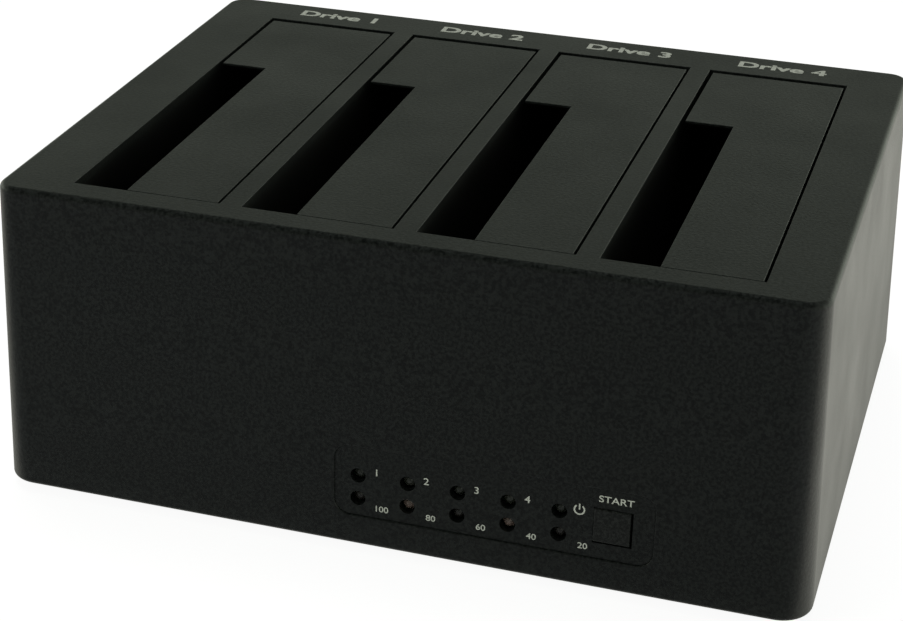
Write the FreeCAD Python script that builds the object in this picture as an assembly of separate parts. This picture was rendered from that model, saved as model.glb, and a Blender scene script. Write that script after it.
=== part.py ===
import FreeCAD, Part
import math
import os

os.makedirs("parts", exist_ok=True)
vector = FreeCAD.Vector

# Case: the walls lean out towards the bottom
case_height = 65.0
wall_flare = 2.15
corner_radius = 4.4
top_edge_radius = 1.2
bottom_edge_radius = 0.8
wall_thickness = 2.2
top_thickness = 2.0
foot_height = 2.0

# Bays in the top, counted from the left, and the slot that each flap leaves open
bay_count = 4
bay_width = 30.4
bay_length = 103.9
bay_web = 4.45
bay_left_margin = 14.25
bay_right_margin = 12.3
front_rim = 6.6
rear_rim = 12.0
slot_width = 11.15
slot_length = 71.6
opening_edge_radius = 0.12

# Flaps and their hinges
flap_left_gap = 1.0
flap_right_gap = 0.58
flap_front_gap = 0.08
flap_rear_gap = 1.6
flap_thickness = 2.0
flap_edge_radius = 0.12
notch_edge_thickness = 0.45
notch_undercut = 2.6
hinge_depth = 1.5
barrel_radius = 1.25
pin_radius = 0.5
pin_clearance = 0.05
pin_groove_clearance = 0.02
pin_reach = 2.8
stop_width = 4.0
stop_reach = 0.9
stop_height = 0.9
stop_root = 3.0
stop_inset = 1.0
stop_clearance = 0.15
flap_rib_width = 1.0
flap_rib_height = 0.8
flap_rib_count = 3
flap_rib_set_back = 0.4

# Torsion springs on the hinge pins
spring_wire_radius = 0.15
spring_coil_radius = 0.7
spring_turns = 6
spring_pitch = 0.6
spring_seat_length = 6.5
spring_seat_offset = 2.5
spring_seat_clearance = 0.1
spring_seat_side = 0.2
spring_flap_leg = 9.0
spring_case_leg = 1.1
spring_notch_clearance = 0.1

# Drive wells under the openings
well_wall = 1.5
well_end_wall = 2.8
well_floor = 1.8
part_to_well_gap = 0.6
swing_pocket = 1.4
swing_clearance = 0.6
well_lug_width = 7.0
well_lug_length = 6.6
well_lug_thickness = 2.4
well_lug_depth = 7.5
well_lug_inset = 6.0
well_screw_radius = 0.9
well_screw_length = 7.0
well_screw_head_radius = 2.0
well_screw_head_height = 1.6
well_screw_edge_radius = 0.5
well_screw_recess = 0.9
well_screw_clearance = 0.3
well_boss_radius = 2.7
locating_pin_radius = 0.7
locating_pin_length = 3.0
locating_pin_inset = 5.5
locating_pin_clearance = 0.05
locating_pin_end_gap = 0.3

# Base plate
base_thickness = 2.4
base_gap = 0.2
case_boss_gap_left = 2.3
case_boss_gap_right = 0.95
case_screw_inset_front = 8.5
case_screw_inset_rear = 9.0
case_boss_radius = 3.2
case_boss_rib = 1.6
case_screw_radius = 1.25
case_screw_length = 12.0
case_screw_head_radius = 2.6
case_screw_recess = 0.95
case_screw_clearance = 0.15
case_screw_head_clearance = 0.1
case_screw_end_gap = 1.0
foot_radius = 5.0
foot_edge_radius = 0.6
foot_recess = 0.5
foot_clearance = 0.2
foot_inset_x = 22.0
foot_inset_y = 16.0
vent_count = 9
vent_width = 2.2
vent_length = 30.0
vent_pitch = 6.0
vent_row_gap = 10.0
vent_end_flat = 0.1

# Boards
board_thickness = 1.6
standoff_height = 3.0
standoff_radius = 3.0
board_boss_gap_left = 1.4
board_boss_gap_right = 1.7
board_inset_front = 3.0
board_inset_rear = 3.8
board_screw_radius = 1.0
board_screw_head_radius = 2.3
board_screw_head_height = 1.5
board_screw_length = 6.0
board_screw_edge_radius = 0.6
board_screw_recess = 0.8
board_screw_clearance = 0.3
board_screw_inset_left = 31.75
board_screw_inset_right = 22.75
board_screw_front = 9.0
board_screw_rear = 22.0
led_board_distance = 4.0
led_board_overhang = 6.35
led_board_lower_margin = 2.7
led_board_upper_margin = 2.2
led_boss_radius = 2.2
led_screw_radius = 0.8
led_screw_inset = 3.0
led_screw_length = 5.2
led_screw_head_radius = 1.9
led_screw_head_height = 1.3
led_screw_recess = 0.7
led_screw_clearance = 0.2
led_pilot_in_wall = 0.4

# Control panel, measured along the front wall from its lower edge
panel_right_margin = 27.9
panel_bottom_height = 6.55
panel_height = 15.1
panel_corner_radius = 3.0
panel_thickness = 1.0
panel_set_back = 0.35
panel_seat_edge_radius = 0.35
panel_clearance = 0.04
led_count = 5
led_first_inset = 4.75
led_pitch = 10.05
led_row_pitch = 5.0
led_lower_inset = 3.75
led_radius = 1.45
led_flange_radius = 1.75
led_flange_height = 1.0
led_hole_radius = 1.55
led_set_back = 0.95
led_to_button_window = 6.59
button_window_width = 7.67
button_window_height = 7.63
button_window_end_margin = 4.09
button_window_lower_margin = 3.28
button_gap_left = 0.06
button_gap_right = 0.42
button_gap_top = 0.11
button_gap_bottom = 0.34
button_proud = 0.3
button_edge_radius = 0.35
button_flange = 1.2
button_flange_thickness = 0.8
button_flange_gap = 0.1
switch_size = 6.0
switch_height = 1.7
switch_floor = 0.15
plunger_radius = 1.5
plunger_clearance = 0.05
plunger_engagement = 0.8

# Drive sockets
socket_length = 42.6
socket_width = 7.8
socket_wall_gap = 0.4
socket_above_floor = 2.6
socket_centre_from_front = 35.0
socket_floor_clearance = 0.4
socket_slot_width = 2.4
socket_slot_depth = 6.5
socket_slot_offset = 0.6
socket_power_length = 21.5
socket_signal_length = 11.5
socket_web = 1.8
socket_key_width = 1.2
socket_key_length = 1.3
socket_tower_length = 3.0
socket_tower_height = 2.0
socket_tower_chamfer = 0.8
contact_pitch = 1.27
contact_width = 0.6
contact_thickness = 0.35
contact_height = 5.5
power_contacts = 15
signal_contacts = 7

# Rear sockets and switch, measured from the left wall at the top
jack_x = 34.0
jack_width = 9.0
jack_height = 11.0
jack_length = 14.0
jack_axis_height = 6.5
jack_bore_radius = 3.15
jack_bore_depth = 9.5
jack_collar_length = 3.4
jack_collar_step = 1.6
jack_pin_set_back = 0.8
jack_pin_radius = 1.0
jack_window_radius = 3.9
usb_x = 62.0
usb_width = 12.0
usb_height = 11.6
usb_length = 17.0
usb_sheet = 0.4
usb_corner = 1.8
usb_recess = 0.25
usb_window_clearance = 0.3
usb_mouth_depth = 10.0
usb_tongue_width = 5.6
usb_tongue_height = 3.2
usb_upper_tongue_width = 5.0
usb_upper_tongue_height = 1.6
usb_upper_tongue_gap = 1.9
usb_tongue_recess = 1.5
usb_tongue_drop = 1.2
rocker_from_right = 33.5
rocker_width = 8.0
rocker_half_height = 3.0
rocker_root_half_height = 2.4
rocker_root = 2.0
rocker_crest = 5.6
rocker_valley = 5.0
rocker_tilt = 8.0
rocker_side_gap = 0.3
rocker_axis_inset = 4.0
rocker_trunnion_radius = 0.9
rocker_trunnion_length = 1.0
rocker_trunnion_end_gap = 0.2
rocker_trunnion_clearance = 0.05
rocker_back_clearance = 1.6
switch_housing_wall = 1.7
switch_housing_height = 10.4
switch_housing_length = 11.4
switch_cavity_half_height = 4.1
rear_part_gap = 0.2

# Parts on the main board
chip_height = 1.2
bridge_chip_size = 9.0
chip_to_socket_gap = 4.5
main_chip_size = 14.0
main_chip_gap = 2.8
main_chip_bay = 2
capacitor_count = 6
capacitor_pitch = 8.5
capacitor_first_x = 26.0
capacitor_from_rear = 28.0
capacitor_radius = 3.15
capacitor_height = 8.0
capacitor_groove = 0.3
capacitor_groove_height = 1.4
inductor_size = 7.0
inductor_height = 4.0
inductor_chamfer = 0.6
inductor_past_socket = 3.0
crystal_length = 11.0
crystal_width = 4.6
crystal_height = 3.5
crystal_edge_radius = 1.0
crystal_bay = 3
header_pin_count = 8
header_pitch = 2.0
header_size = 2.2
header_pin_size = 0.5
header_gap = 0.8
header_pin_gap = 0.1

# Making of the solids: how far a cut runs past what it cuts, a boss or rib into its wall,
# and how near two edges lie to count as one
overrun = 1.0
root = 0.5
same_place = 1e-4
recess_reach_share = 0.62
recess_width_share = 0.3

# Places that follow from the sizes above
bay_pitch = bay_width + bay_web
case_width = bay_left_margin + bay_count * bay_pitch - bay_web + bay_right_margin
case_depth = front_rim + bay_length + rear_rim
left = -case_width / 2
right = case_width / 2
front = -case_depth / 2
rear = case_depth / 2
bottom = foot_height
top = bottom + case_height
top_underside = top - top_thickness
base_top = bottom + base_thickness
board_bottom = base_top + standoff_height
board_top = board_bottom + board_thickness
bay_front = front + front_rim
bay_rear = bay_front + bay_length
hinge_z = top - hinge_depth
wall_lean = math.degrees(math.atan(wall_flare / case_height))
case_screw_inset_left = bay_left_margin - well_wall - case_boss_radius - case_boss_gap_left
case_screw_inset_right = bay_right_margin - well_wall - case_boss_radius - case_boss_gap_right
board_left = left + case_screw_inset_left + case_boss_radius + board_boss_gap_left
board_right = right - case_screw_inset_right - case_boss_radius - board_boss_gap_right
leds_width = (led_count - 1) * led_pitch
button_end_width = led_to_button_window + button_window_width + button_window_end_margin
panel_width = led_first_inset + leds_width + button_end_width
panel_right = right - panel_right_margin
panel_left = panel_right - panel_width
panel_centre_x = (panel_left + panel_right) / 2
panel_centre_height = panel_bottom_height + panel_height / 2
led_lower_height = panel_bottom_height + led_lower_inset
led_upper_height = led_lower_height + led_row_pitch
button_window_right = panel_right - button_window_end_margin
button_window_left = button_window_right - button_window_width
button_window_bottom = panel_bottom_height + button_window_lower_margin
button_window_top = button_window_bottom + button_window_height
led_board_bottom = led_lower_height - led_board_lower_margin
led_board_top = led_upper_height + led_board_upper_margin
led_board_width = panel_width + 2 * led_board_overhang
tallest_part = max(usb_height, jack_height, switch_housing_height, bottom + led_board_top - board_top)
well_bottom = board_top + tallest_part + part_to_well_gap
well_floor_top = well_bottom + well_floor
socket_mouth = well_floor_top + socket_above_floor
rocker_x = right - rocker_from_right


def bay_left(bay):
    return left + bay_left_margin + bay * bay_pitch


def bay_right(bay):
    return bay_left(bay) + bay_width


def hinge_x(bay):
    return bay_right(bay) - flap_right_gap - barrel_radius


def flare_at(z):
    return wall_flare * (top - z) / case_height


def box(x0, x1, y0, y1, z0, z1):
    return Part.makeBox(x1 - x0, y1 - y0, z1 - z0, vector(x0, y0, z0))


def upright(radius, x, y, z0, z1):
    return Part.makeCylinder(radius, z1 - z0, vector(x, y, z0))


def lengthwise(radius, x, z, y0, y1):
    return Part.makeCylinder(radius, y1 - y0, vector(x, y0, z), vector(0, 1, 0))


def rounded_outline(width, depth, radius, x, y, z):
    """A rectangle with arcs at its corners, level at height z and centred on x and y."""
    slant = radius * (1 - math.sqrt(0.5))
    edges = []
    corners = ((1, -1), (1, 1), (-1, 1), (-1, -1))
    points = []
    for side_x, side_y in corners:
        corner = vector(x + side_x * width / 2, y + side_y * depth / 2, z)
        along_x = vector(corner.x - side_x * radius, corner.y, z)
        along_y = vector(corner.x, corner.y - side_y * radius, z)
        middle = vector(corner.x - side_x * slant, corner.y - side_y * slant, z)
        if side_x * side_y < 0:
            points.append((along_x, middle, along_y))
        else:
            points.append((along_y, middle, along_x))
    for number, (start, middle, end) in enumerate(points):
        following = points[(number + 1) % len(points)][0]
        edges.append(Part.Arc(start, middle, end).toShape())
        edges.append(Part.LineSegment(end, following).toShape())
    return Part.Wire(edges)


def rounded_block(width, depth, radius, x, y, z0, z1):
    face = Part.Face(rounded_outline(width, depth, radius, x, y, z0))
    return face.extrude(vector(0, 0, z1 - z0))


def case_block(inset, z0, z1):
    """The tapered body of the case between two heights, drawn in by the inset."""
    outlines = []
    for z in (z0, z1):
        grow = flare_at(z) - inset
        outlines.append(rounded_outline(case_width + 2 * grow, case_depth + 2 * grow,
                                        corner_radius + grow, 0, 0, z))
    return Part.makeLoft(outlines, True, True)


def on_front_wall(shape):
    """Moves a shape drawn with x, height and outward distance onto the leaning front wall."""
    placed = shape.copy()
    turn = FreeCAD.Rotation(vector(1, 0, 0), 90 - wall_lean)
    origin = vector(0, front - wall_flare, bottom)
    placed.Placement = FreeCAD.Placement(origin, turn).multiply(shape.Placement)
    return placed


def edges_where(shape, test):
    return [edge for edge in shape.Edges if test(edge.BoundBox)]


def lies_at(height):
    return lambda bounds: abs(bounds.ZMin - height) < same_place and abs(bounds.ZMax - height) < same_place


def fused(shapes):
    whole = shapes[0].multiFuse(shapes[1:])
    return whole.removeSplitter()


def save(name, shape):
    solids = shape.Solids
    for solid in solids:
        if not solid.isValid():
            print("not valid:", name)
    result = solids[0] if len(solids) == 1 else Part.makeCompound(solids)
    result.exportStep("parts/" + name + ".step")


def case_screw_places():
    places = []
    for x in (left + case_screw_inset_left, right - case_screw_inset_right):
        for y in (front + case_screw_inset_front, rear - case_screw_inset_rear):
            places.append((x, y))
    return places


def board_screw_places():
    places = []
    first = left + board_screw_inset_left
    last = right - board_screw_inset_right
    for x in (first, (first + last) / 2, last):
        places.append((x, front + board_screw_front))
        places.append((x, rear - board_screw_rear))
    return places


def well_screw_places(bay):
    y = bay_rear + well_end_wall + well_lug_length / 2
    return [(bay_left(bay) + well_lug_inset, y), (bay_right(bay) - well_lug_inset, y)]


def led_board_screw_places():
    middle = (led_board_bottom + led_board_top) / 2
    first = panel_centre_x - led_board_width / 2 + led_screw_inset
    last = panel_centre_x + led_board_width / 2 - led_screw_inset
    return [(first, middle), (last, middle)]


def led_places(height):
    first = panel_left + led_first_inset
    return [(first + number * led_pitch, height) for number in range(led_count)]


def cross_recess(radius, x, y, z0, z1):
    """A cross-head drive: two short bars that cut into a screw's head."""
    reach = radius * recess_reach_share
    half = radius * recess_width_share / 2
    first = box(x - reach, x + reach, y - half, y + half, z0, z1)
    second = box(x - half, x + half, y - reach, y + reach, z0, z1)
    return first.fuse(second)


# Upper case

def front_openings():
    """Lamp holes and button window, as solids to cut out of the front wall."""
    cuts = []
    inside = -wall_thickness - overrun
    for height in (led_upper_height, led_lower_height):
        for x, level in led_places(height):
            cuts.append(upright(led_hole_radius + panel_clearance, x, level, inside, 0))
    cuts.append(box(button_window_left, button_window_right,
                    button_window_bottom, button_window_top, inside, 0))
    return [on_front_wall(cut) for cut in cuts]


def rear_openings():
    """Windows for the power jack, the data port and the power switch."""
    outer = rear + wall_flare + overrun
    inner = rear - wall_thickness - overrun
    jack_centre = left + jack_x
    jack_window = lengthwise(jack_window_radius, jack_centre, board_top + jack_axis_height, inner, outer)
    half = usb_width / 2 + usb_window_clearance
    usb_window = box(left + usb_x - half, left + usb_x + half, inner, outer,
                     board_top - usb_window_clearance, board_top + usb_height + usb_window_clearance)
    half = rocker_width / 2 + rocker_side_gap
    middle = board_top + switch_housing_height / 2
    rocker_window = box(rocker_x - half, rocker_x + half, inner, outer,
                        middle - switch_cavity_half_height, middle + switch_cavity_half_height)
    return [jack_window, usb_window, rocker_window]


def pin_groove(bay):
    """Groove in the underside of the top that holds one hinge pin."""
    radius = pin_radius + pin_groove_clearance
    start = bay_front - pin_reach
    end = bay_rear + pin_reach
    round_part = lengthwise(radius, hinge_x(bay), hinge_z, start, end)
    mouth = box(hinge_x(bay) - radius, hinge_x(bay) + radius, start, end, top_underside, hinge_z)
    return round_part.fuse(mouth)


def panel_seat():
    """The pocket in the front wall that the control panel lies in."""
    seat = rounded_block(panel_width, panel_height, panel_corner_radius, panel_centre_x, panel_centre_height,
                         -panel_set_back - panel_thickness, overrun)
    return on_front_wall(seat)


def panel_seat_rim(shell):
    """The edges of the panel's pocket that lie on the outside of the front wall."""
    to_wall = on_front_wall(Part.Shape()).Placement.inverse()
    rim = []
    for edge in shell.Edges:
        points = [to_wall.multVec(point) for point in edge.discretize(3)]
        if all(abs(point.z) < same_place and abs(point.x - panel_centre_x) < panel_width / 2 + same_place
               and abs(point.y - panel_centre_height) < panel_height / 2 + same_place for point in points):
            rim.append(edge)
    return rim


def opening_rims(shell):
    """The top edges of the bays, without the case's own outline."""
    rims = []
    for edge in edges_where(shell, lies_at(top)):
        middle = edge.BoundBox.Center
        inside_x = left + bay_left_margin / 2 < middle.x < right - bay_right_margin / 2
        inside_y = front + front_rim / 2 < middle.y < rear - rear_rim / 2
        if inside_x and inside_y:
            rims.append(edge)
    return rims


def upper_case():
    shell = case_block(0, bottom, top)
    shell = shell.makeFillet(top_edge_radius, edges_where(shell, lies_at(top)))
    shell = shell.makeFillet(bottom_edge_radius, edges_where(shell, lies_at(bottom)))
    shell = shell.cut(case_block(wall_thickness, bottom - overrun, top_underside))
    openings = []
    for bay in range(bay_count):
        openings.append(box(bay_left(bay), bay_right(bay), bay_front, bay_rear,
                            top_underside - overrun, top + overrun))
    shell = shell.cut(openings)
    shell = shell.makeFillet(opening_edge_radius, opening_rims(shell))
    shell = shell.cut(panel_seat())
    shell = shell.makeFillet(panel_seat_edge_radius, panel_seat_rim(shell))

    additions = []
    walls = case_block(wall_thickness / 2, bottom, top)
    boss_top = top_underside + root
    for x, y in case_screw_places():
        additions.append(upright(case_boss_radius, x, y, base_top, boss_top))
        edge = left - wall_flare if x < 0 else right + wall_flare
        rib = box(min(x, edge), max(x, edge), y - case_boss_rib / 2, y + case_boss_rib / 2,
                  base_top, boss_top)
        additions.append(rib.common(walls))
    for bay in range(bay_count):
        for x, y in well_screw_places(bay):
            lug_top = top_underside - well_lug_depth + well_lug_thickness
            additions.append(upright(well_boss_radius, x, y, lug_top, boss_top))
        x = bay_left(bay) + locating_pin_inset
        y = bay_front - well_end_wall / 2
        additions.append(upright(locating_pin_radius, x, y, top_underside - locating_pin_length, boss_top))
    for x, height in led_board_screw_places():
        boss = upright(led_boss_radius, x, height, led_board_front(), -wall_thickness + root)
        additions.append(on_front_wall(boss))
    shell = fused([shell] + additions)

    cuts = front_openings() + rear_openings()
    cuts += [pin_groove(bay) for bay in range(bay_count)]
    for x, y in case_screw_places():
        cuts.append(upright(case_screw_radius, x, y, base_top - overrun,
                            bottom + case_screw_length + case_screw_end_gap))
    for bay in range(bay_count):
        for x, y in well_screw_places(bay):
            cuts.append(upright(well_screw_radius, x, y, top_underside - well_lug_depth, top_underside))
    for x, height in led_board_screw_places():
        pilot = upright(led_screw_radius, x, height, led_board_front() - overrun,
                        -wall_thickness + led_pilot_in_wall)
        cuts.append(on_front_wall(pilot))
    return shell.cut(cuts)


# Base plate

def base_plate():
    plate = case_block(wall_thickness + base_gap, bottom, base_top)
    additions = [upright(standoff_radius, x, y, base_top - root, board_bottom)
                 for x, y in board_screw_places()]
    plate = fused([plate] + additions)
    cuts = []
    low = bottom - overrun
    high = base_top + overrun
    for x, y in case_screw_places():
        cuts.append(upright(case_screw_radius + case_screw_clearance, x, y, low, high))
        depth = case_screw_head_radius - case_screw_radius
        cuts.append(Part.makeCone(case_screw_head_radius + case_screw_head_clearance,
                                  case_screw_radius + case_screw_head_clearance,
                                  depth, vector(x, y, bottom)))
    for x, y in board_screw_places():
        cuts.append(upright(board_screw_radius, x, y,
                            board_top - board_screw_length, board_bottom + overrun))
    for x, y in foot_places():
        cuts.append(upright(foot_radius + foot_clearance, x, y, low, bottom + foot_recess))
    for number in range(vent_count):
        x = (number - (vent_count - 1) / 2) * vent_pitch
        for side in (-1, 1):
            middle = side * (vent_row_gap + vent_length) / 2
            cuts.append(rounded_block(vent_width, vent_length, (vent_width - vent_end_flat) / 2,
                                      x, middle, low, high))
    return plate.cut(cuts)


def foot_places():
    places = []
    for x in (left + foot_inset_x, right - foot_inset_x):
        for y in (front + foot_inset_y, rear - foot_inset_y):
            places.append((x, y))
    return places


def rubber_feet():
    feet = []
    for x, y in foot_places():
        foot = upright(foot_radius, x, y, 0, bottom + foot_recess)
        feet.append(foot.makeFillet(foot_edge_radius, edges_where(foot, lies_at(0))))
    return Part.makeCompound(feet)


def case_screws():
    screws = []
    for x, y in case_screw_places():
        depth = case_screw_head_radius - case_screw_radius
        head = Part.makeCone(case_screw_head_radius, case_screw_radius, depth, vector(x, y, bottom))
        shank = upright(case_screw_radius, x, y, bottom + depth, bottom + case_screw_length)
        screw = fused([head, shank])
        screws.append(screw.cut(cross_recess(case_screw_head_radius, x, y,
                                             bottom - overrun, bottom + case_screw_recess)))
    return Part.makeCompound(screws)


# Flaps with their pins and springs

def spring_seat(bay):
    """Where the room for the spring starts and ends along a flap's barrel."""
    end = bay_rear - flap_rear_gap - spring_seat_offset
    return end - spring_seat_length, end


def notch_relief(bay):
    """The slope under the rear end of a flap's notch, which leaves only a thin edge there."""
    x0 = bay_left(bay) + flap_left_gap - overrun
    x1 = bay_left(bay) + slot_width
    y = bay_front + slot_length
    low = top - flap_thickness
    points = [(y, low - overrun), (y + notch_undercut, low - overrun), (y + notch_undercut, low),
              (y, top - notch_edge_thickness)]
    corners = [vector(x0, along, height) for along, height in points]
    side = Part.Face(Part.makePolygon(corners + [corners[0]]))
    return side.extrude(vector(x1 - x0, 0, 0))


def flap(bay):
    x0 = bay_left(bay) + flap_left_gap
    axis_x = hinge_x(bay)
    edge = axis_x + barrel_radius
    underside = top - flap_thickness
    step = math.sqrt(barrel_radius ** 2 - (hinge_z - underside) ** 2)
    diagonal = barrel_radius * math.sin(math.radians(45))
    back_angle = math.atan2(step, hinge_z - underside) / 2
    start = bay_front + flap_front_gap
    end = bay_rear - flap_rear_gap
    lower_left = vector(x0, start, underside)
    upper_left = vector(x0, start, top)
    upper_right = vector(edge, start, top)
    right_side = vector(edge, start, hinge_z)
    low_mid = vector(axis_x + diagonal, start, hinge_z - diagonal)
    lowest = vector(axis_x, start, hinge_z - barrel_radius)
    back_mid = vector(axis_x - barrel_radius * math.sin(back_angle), start,
                      hinge_z - barrel_radius * math.cos(back_angle))
    barrel_back = vector(axis_x - step, start, underside)
    edges = [Part.LineSegment(lower_left, upper_left).toShape(),
             Part.LineSegment(upper_left, upper_right).toShape(),
             Part.LineSegment(upper_right, right_side).toShape(),
             Part.Arc(right_side, low_mid, lowest).toShape(),
             Part.Arc(lowest, back_mid, barrel_back).toShape(),
             Part.LineSegment(barrel_back, lower_left).toShape()]
    plate = Part.Face(Part.Wire(edges)).extrude(vector(0, end - start, 0))
    notch = box(x0 - overrun, bay_left(bay) + slot_width, start - overrun, bay_front + slot_length,
                underside - overrun, top + overrun)
    plate = plate.cut([notch, notch_relief(bay)])
    plate = plate.makeFillet(flap_edge_radius, edges_where(plate, lies_at(top)))

    additions = []
    stop_bottom = underside - stop_height
    stop_top = top_underside - stop_clearance
    slot_edge = bay_left(bay) + slot_width
    rear_x = x0 + stop_inset
    front_x = slot_edge + stop_inset
    additions.append(box(rear_x, rear_x + stop_width, end - stop_root, end, stop_bottom, underside + root))
    additions.append(box(rear_x, rear_x + stop_width, end - stop_root, bay_rear + stop_reach,
                         stop_bottom, stop_top))
    additions.append(box(front_x, front_x + stop_width, start, start + stop_root,
                         stop_bottom, underside + root))
    additions.append(box(front_x, front_x + stop_width, bay_front - stop_reach, start + stop_root,
                         stop_bottom, stop_top))
    seat_start, seat_end = spring_seat(bay)
    room = seat_start - start
    for number in range(flap_rib_count):
        y = start + room * (number + 1) / (flap_rib_count + 1)
        additions.append(box(slot_edge + flap_rib_set_back, axis_x - barrel_radius, y, y + flap_rib_width,
                             underside - flap_rib_height, underside + root))
    plate = fused([plate] + additions)
    bore = lengthwise(pin_radius + pin_clearance, axis_x, hinge_z, start - overrun, end + overrun)
    crown = spring_coil_radius + spring_wire_radius + spring_seat_clearance
    side = barrel_radius + spring_seat_side
    seat_roof = lengthwise(crown, axis_x, hinge_z, seat_start, seat_end)
    seat_mouth = box(axis_x - side, axis_x + side, seat_start, seat_end,
                     hinge_z - barrel_radius - overrun, hinge_z)
    return plate.cut([bore, seat_roof, seat_mouth])


def hinge_pin(bay):
    return lengthwise(pin_radius, hinge_x(bay), hinge_z, bay_front - pin_reach, bay_rear + pin_reach)


def spring_case_end(bay):
    """Where the coil ends and its short leg starts."""
    seat_start, seat_end = spring_seat(bay)
    y = (seat_start + seat_end - spring_turns * spring_pitch) / 2
    return vector(hinge_x(bay), y, hinge_z - spring_coil_radius)


def flap_spring(bay):
    """Coil round the pin, a long leg under the flap and a short one under the top of the case."""
    length = spring_turns * spring_pitch
    lead = math.atan(spring_pitch / (2 * math.pi * spring_coil_radius))
    tangent = vector(0, math.cos(lead), math.sin(lead))
    coil_start = vector(spring_coil_radius, 0, 0)
    coil_end = vector(spring_coil_radius, 0, length)
    flap_end = coil_start - tangent * spring_flap_leg
    reach = (bay_right(bay) + spring_case_leg - hinge_x(bay)) / math.cos(lead)
    edges = [Part.LineSegment(flap_end, coil_start).toShape()]
    edges += Part.makeHelix(spring_pitch, length, spring_coil_radius).Edges
    edges.append(Part.LineSegment(coil_end, coil_end + tangent * reach).toShape())
    section = Part.Wire([Part.makeCircle(spring_wire_radius, flap_end, tangent)])
    spring = Part.Wire(edges).makePipeShell([section], True, False)
    # the coil starts at its lowest point, moves off towards +X and winds forwards along the pin
    origin = spring_case_end(bay)
    lay = FreeCAD.Matrix(0, 1, 0, origin.x, 0, 0, -1, origin.y + length, -1, 0, 0, hinge_z)
    spring.Placement = FreeCAD.Placement(lay)
    return spring


# Drive wells

def drive_well(bay):
    x0 = bay_left(bay)
    x1 = bay_right(bay)
    well = box(x0 - well_wall, x1 + well_wall, bay_front - well_end_wall, bay_rear + well_end_wall,
               well_bottom, top_underside)
    lug_bottom = top_underside - well_lug_depth
    lugs = []
    for x, y in well_screw_places(bay):
        half = well_lug_width / 2
        lugs.append(box(x - half, x + half, bay_rear + well_end_wall - root, y + well_lug_length / 2,
                        lug_bottom, lug_bottom + well_lug_thickness))
    well = fused([well] + lugs)
    rear_swing = hinge_x(bay) - x0 - flap_left_gap + swing_clearance
    front_swing = hinge_x(bay) - x0 - slot_width + swing_clearance
    cuts = [box(x0, x1, bay_front, bay_rear, well_floor_top, top)]
    cuts.append(box(x0, x1, bay_rear - overrun, bay_rear + swing_pocket, hinge_z - rear_swing, top))
    cuts.append(box(x0 + slot_width - swing_clearance, x1, bay_front - swing_pocket, bay_front + overrun,
                    hinge_z - front_swing, top))
    sx0, sx1, sy0, sy1 = socket_bounds(bay)
    gap = socket_floor_clearance
    cuts.append(box(sx0 - gap, sx1 + gap, sy0 - gap, sy1 + gap,
                    well_bottom - overrun, well_floor_top + overrun))
    for x, y in well_screw_places(bay):
        cuts.append(upright(well_screw_radius + well_screw_clearance, x, y,
                            lug_bottom - overrun, lug_bottom + well_lug_thickness + overrun))
    x = x0 + locating_pin_inset
    y = bay_front - well_end_wall / 2
    cuts.append(upright(locating_pin_radius + locating_pin_clearance, x, y,
                        top_underside - locating_pin_length - locating_pin_end_gap, top))
    cuts.append(spring_notch(bay))
    return well.cut(cuts)


def spring_notch(bay):
    """Notch in the well's right wall, just under the top, for the short leg of the spring."""
    origin = spring_case_end(bay)
    half = spring_wire_radius + spring_notch_clearance
    end = bay_right(bay) + spring_case_leg + spring_notch_clearance
    drift = (end - origin.x) * spring_pitch / (2 * math.pi * spring_coil_radius)
    return box(bay_right(bay) - overrun, end, origin.y - drift - half, origin.y + half, origin.z - half, top)


def well_screws():
    screws = []
    for bay in range(bay_count):
        for x, y in well_screw_places(bay):
            seat = top_underside - well_lug_depth
            head = upright(well_screw_head_radius, x, y, seat - well_screw_head_height, seat)
            crown = seat - well_screw_head_height
            head = head.makeFillet(well_screw_edge_radius, edges_where(head, lies_at(crown)))
            shank = upright(well_screw_radius, x, y, seat, seat + well_screw_length)
            screw = fused([head, shank])
            screws.append(screw.cut(cross_recess(well_screw_head_radius, x, y,
                                                 crown - overrun, crown + well_screw_recess)))
    return Part.makeCompound(screws)


# Drive sockets

def socket_bounds(bay):
    x0 = bay_left(bay) + socket_wall_gap
    middle = bay_front + socket_centre_from_front
    return x0, x0 + socket_width, middle - socket_length / 2, middle + socket_length / 2


def socket_slots(bay):
    """Start and length of the signal slot and the power slot along the socket."""
    x0, x1, y0, y1 = socket_bounds(bay)
    span = socket_signal_length + socket_web + socket_power_length
    start = (y0 + y1 - span) / 2
    return [(start, socket_signal_length, signal_contacts),
            (start + socket_signal_length + socket_web, socket_power_length, power_contacts)]


def drive_socket(bay):
    x0, x1, y0, y1 = socket_bounds(bay)
    mouth = socket_mouth
    body = box(x0, x1, y0, y1, board_top, mouth)
    towers = []
    for y in (y0, y1 - socket_tower_length):
        tower = box(x0, x1, y, y + socket_tower_length, mouth - root, mouth + socket_tower_height)
        upper = edges_where(tower, lies_at(mouth + socket_tower_height))
        towers.append(tower.makeChamfer(socket_tower_chamfer, upper))
    body = fused([body] + towers)
    middle = (x0 + x1) / 2 + socket_slot_offset
    low = mouth - socket_slot_depth
    cuts = []
    for start, length, count in socket_slots(bay):
        cuts.append(box(middle - socket_slot_width / 2, middle + socket_slot_width / 2,
                        start, start + length, low, mouth + overrun))
        cuts.append(box(middle, middle + socket_slot_width / 2 + socket_key_width,
                        start, start + socket_key_length, low, mouth + overrun))
    return body.cut(cuts)


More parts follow.
